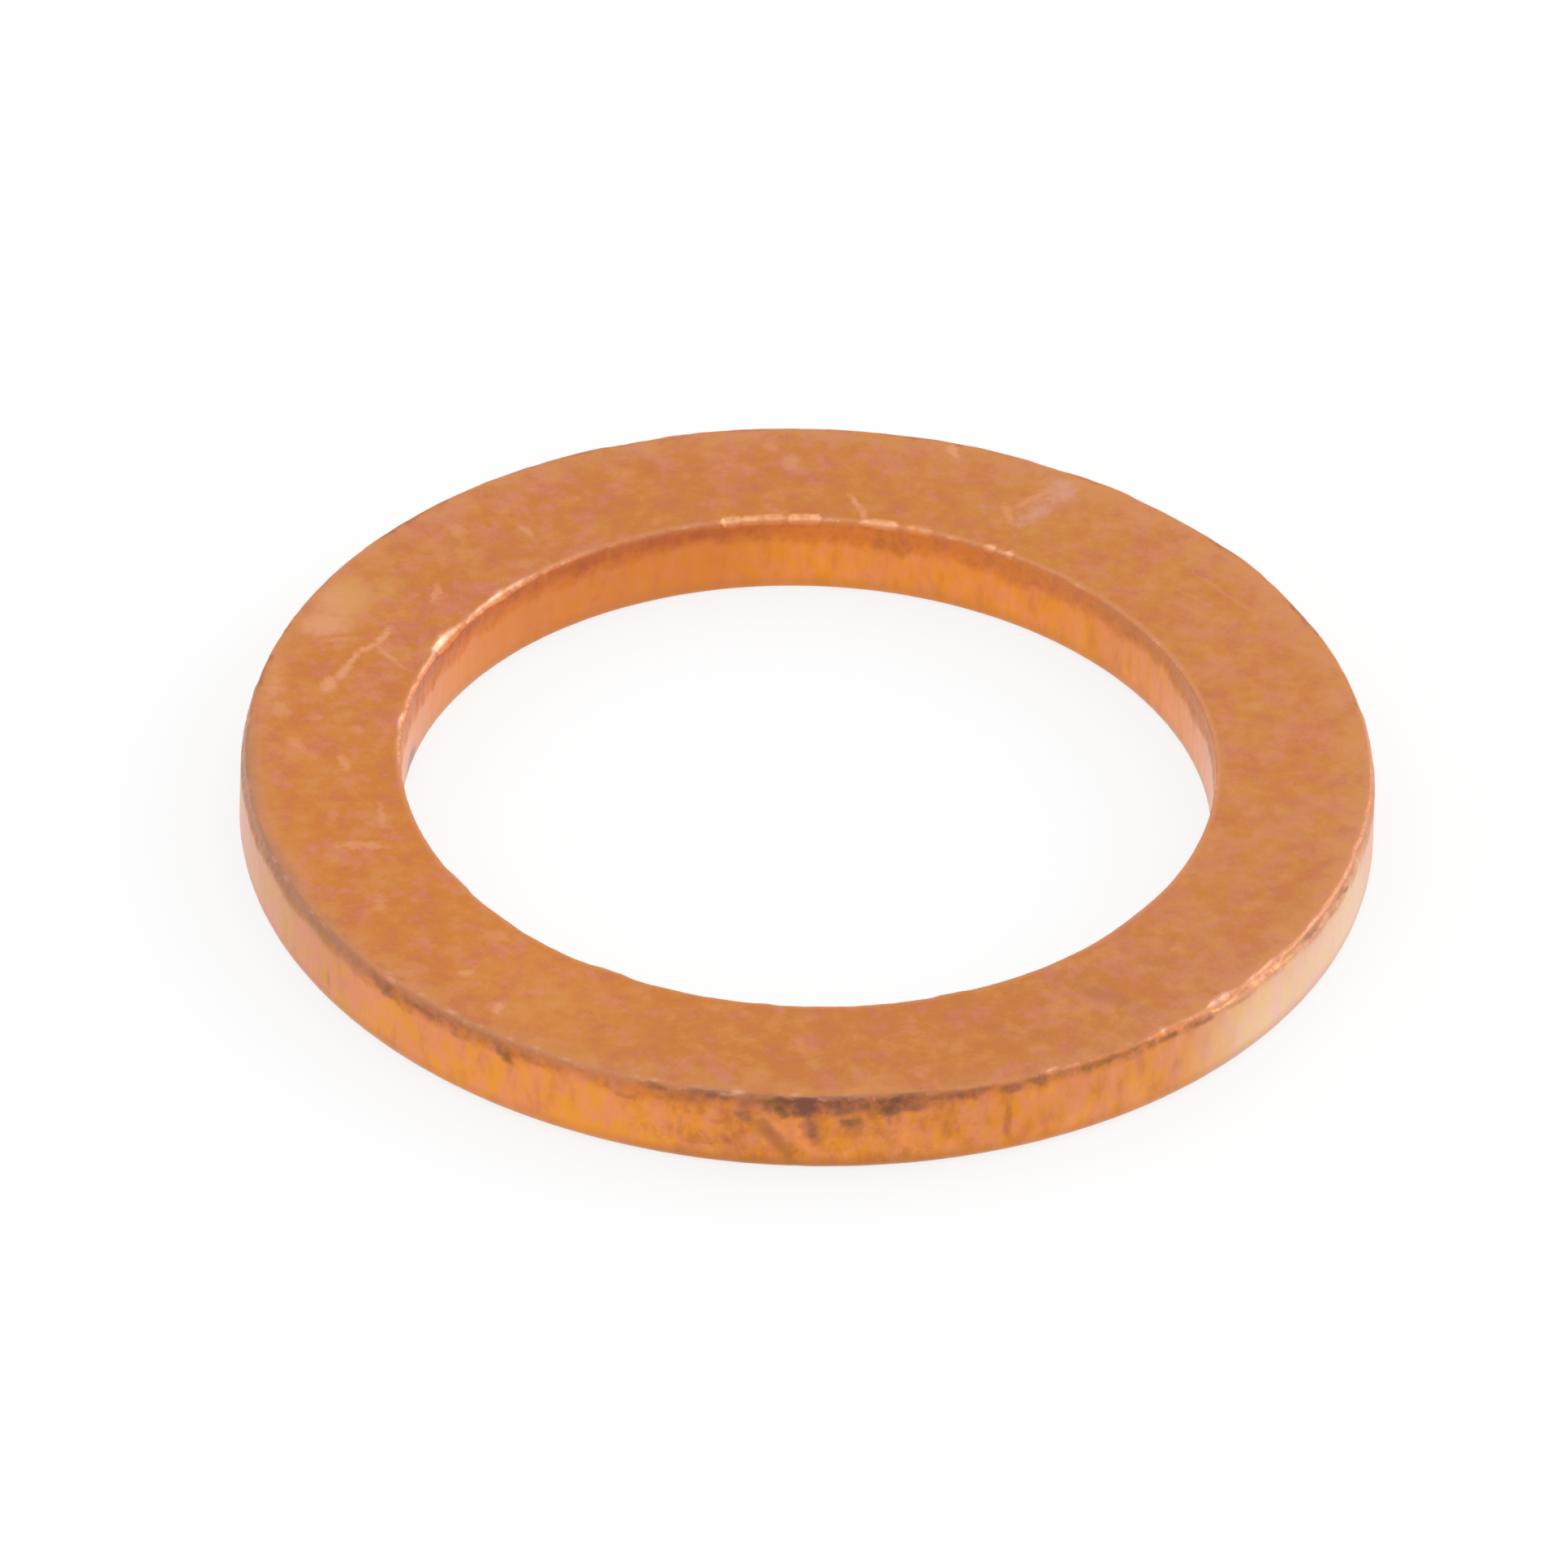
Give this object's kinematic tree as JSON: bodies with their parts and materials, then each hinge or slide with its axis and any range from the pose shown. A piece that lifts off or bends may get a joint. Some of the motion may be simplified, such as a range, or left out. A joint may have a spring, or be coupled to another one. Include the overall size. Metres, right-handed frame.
{
  "type": "drain plug washer",
  "caption": "Flat copper sealing ring for an oil drain plug, blanked from sheet, with rolled lower edges and a torn band at the top of the outer wall and of the bore.",
  "frame": {"origin": "centre of the ring at its underside, the face with the rolled edges", "axes": "+Z along the bore's axis, towards the face with the torn edges; X and Y are any two directions across the ring"},
  "size_m": [0.0198, 0.0198, 0.0015],
  "materials": {
    "copper": "satin"
  },
  "bodies": {
    "root": {"washer": "copper"}
  },
  "joints": []
}
